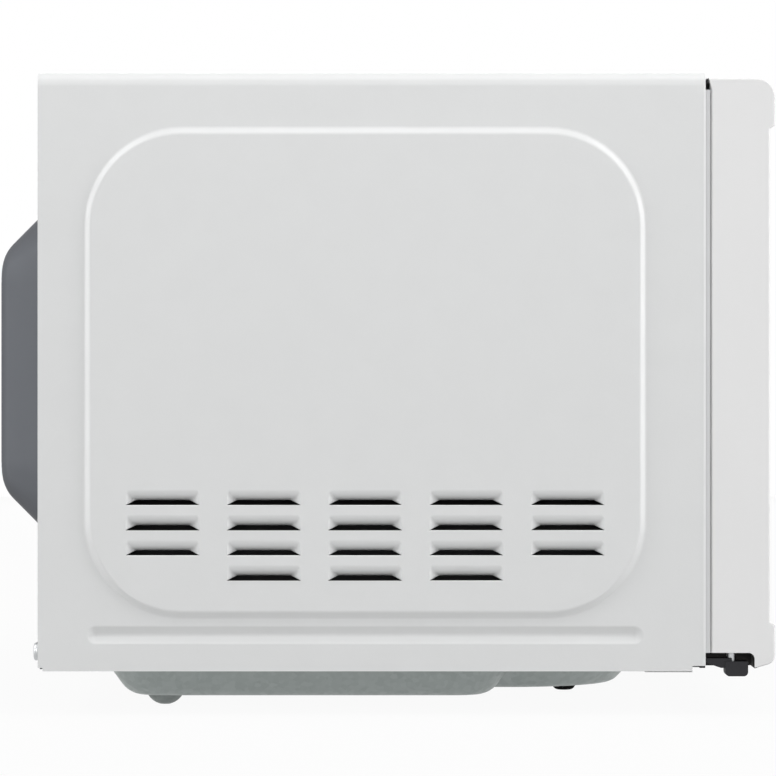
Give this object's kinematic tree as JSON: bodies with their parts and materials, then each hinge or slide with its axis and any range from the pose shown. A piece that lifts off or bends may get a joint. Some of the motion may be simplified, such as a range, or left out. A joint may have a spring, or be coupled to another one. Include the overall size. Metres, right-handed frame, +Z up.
{
  "type": "microwave oven",
  "caption": "Compact counter-top microwave oven with a louvred white cabinet, side-hinged door, push-button release, turntable and its working parts inside.",
  "frame": {"origin": "on the floor under the middle of the whole oven, feet at Z = 0", "axes": "+Z up, door and control panel face -Y, +X to the right seen from the front; the door is hinged at -X"},
  "size_m": [0.444, 0.325, 0.264],
  "materials": {
    "white_painted_steel": "gloss powder coat",
    "grey_painted_steel": "satin coat",
    "galvanised_steel": "galvanised",
    "cavity_enamel": "grey acrylic enamel",
    "white_moulding": "moulded, fine satin",
    "black_moulding": "moulded",
    "grey_moulding": "moulded",
    "natural_moulding": "moulded",
    "black_steel": "black finish",
    "bright_steel": "zinc plated",
    "window_glass": "tinted",
    "clear_sheet": "clear",
    "tray_glass": "clear pressed glass",
    "keypad_film": "printed film",
    "display_tint": "tinted lens",
    "circuit_board": "green board",
    "lamination": "lacquered stack",
    "copper_coil": "enamelled wire",
    "aluminium_fin": "pressed",
    "capacitor_can": "drawn can",
    "mica_sheet": "mica",
    "foot_rubber": "moulded",
    "lamp_glass": "clear bulb",
    "motor_case": "zinc plated"
  },
  "bodies": {
    "oven": {"cabinet_cover": "white_painted_steel", "rear_panel": "grey_painted_steel", "base_plate": "galvanised_steel", "rubber_feet": "foot_rubber", "cover_screws": "bright_steel", "cord_bush": "black_moulding", "front_plate": "white_painted_steel", "cavity_floor": "cavity_enamel", "cavity_ceiling": "cavity_enamel", "cavity_left_wall": "cavity_enamel", "cavity_right_wall": "cavity_enamel", "waveguide_cover": "mica_sheet", "hinge_lower": "black_steel", "hinge_upper": "bright_steel", "hinge_pins": "bright_steel", "control_panel": "white_moulding", "keypad_sheet": "keypad_film", "display_lens": "display_tint", "control_board": "circuit_board", "interlock_bracket": "natural_moulding", "lever_pivot": "bright_steel", "interlock_switches": "black_moulding", "waveguide": "galvanised_steel", "magnetron_yoke": "galvanised_steel", "magnetron_core": "aluminium_fin", "transformer_core": "lamination", "transformer_windings": "copper_coil", "hv_capacitor": "capacitor_can", "capacitor_clamp": "galvanised_steel", "filter_board": "circuit_board", "fan_frame": "natural_moulding", "fan_motor": "motor_case", "turntable_motor": "motor_case", "lamp_holder": "natural_moulding", "oven_lamp": "lamp_glass", "thermal_cutout": "black_moulding"},
    "door": {"door_frame": "white_moulding", "door_window": "window_glass", "door_plate": "black_steel", "choke_cover": "black_moulding", "inner_window": "clear_sheet", "latch_spring": "bright_steel"},
    "latch": {"latch_hook": "natural_moulding"},
    "button": {"release_button": "white_moulding"},
    "lever": {"release_lever": "natural_moulding"},
    "fan": {"fan_blade": "natural_moulding"},
    "turntable": {"drive_coupler": "natural_moulding", "glass_tray": "tray_glass"},
    "rollers": {"roller_ring": "natural_moulding"},
    "wheel_1": {"roller_wheel_1": "grey_moulding"},
    "wheel_2": {"roller_wheel_2": "grey_moulding"},
    "wheel_3": {"roller_wheel_3": "grey_moulding"}
  },
  "joints": [
    {"name": "door_hinge", "type": "hinge", "parent": "oven", "child": "door", "pos_m": [-0.2135, -0.145, 0.14], "axis": [0, 0, -1], "range_deg": [0, 105]},
    {"name": "latch_slide", "type": "slide", "parent": "door", "child": "latch", "axis": [0, 0, -1], "range_m": [0, 0.0045], "deforming": ["latch_spring"]},
    {"name": "button_push", "type": "slide", "parent": "oven", "child": "button", "axis": [0, 1, 0], "range_m": [0, 0.0035], "stiffness_N_per_m": 400},
    {"name": "lever_turn", "type": "hinge", "parent": "oven", "child": "lever", "pos_m": [0.1257, -0.104, 0.07], "axis": [1, 0, 0], "range_deg": [0, 16]},
    {"name": "turntable_spin", "type": "hinge", "parent": "oven", "child": "turntable", "pos_m": [-0.052, 0.0076, 0.05], "axis": [0, 0, 1], "continuous": true},
    {"name": "roller_ring_spin", "type": "hinge", "parent": "oven", "child": "rollers", "pos_m": [-0.052, 0.0076, 0.0453], "axis": [0, 0, 1], "continuous": true},
    {"name": "fan_spin", "type": "hinge", "parent": "oven", "child": "fan", "pos_m": [0.1599, 0.1259, 0.158], "axis": [0, 1, 0], "continuous": true},
    {"name": "wheel_1_spin", "type": "hinge", "parent": "rollers", "child": "wheel_1", "pos_m": [0.043, 0.0076, 0.0453], "axis": [1, 0, 0], "continuous": true},
    {"name": "wheel_2_spin", "type": "hinge", "parent": "rollers", "child": "wheel_2", "pos_m": [-0.0995, 0.08987, 0.0453], "axis": [-0.5, 0.866, 0], "continuous": true},
    {"name": "wheel_3_spin", "type": "hinge", "parent": "rollers", "child": "wheel_3", "pos_m": [-0.0995, -0.07467, 0.0453], "axis": [-0.5, -0.866, 0], "continuous": true}
  ],
  "couplings": [
    {"joint": "latch_slide", "follows": "button_push", "ratio": 1.285},
    {"joint": "lever_turn", "follows": "button_push", "rad_per_m": 79.77},
    {"joint": "roller_ring_spin", "follows": "turntable_spin", "ratio": 0.5},
    {"joint": "wheel_1_spin", "follows": "turntable_spin", "ratio": -6.7857},
    {"joint": "wheel_2_spin", "follows": "turntable_spin", "ratio": -6.7857},
    {"joint": "wheel_3_spin", "follows": "turntable_spin", "ratio": -6.7857}
  ]
}
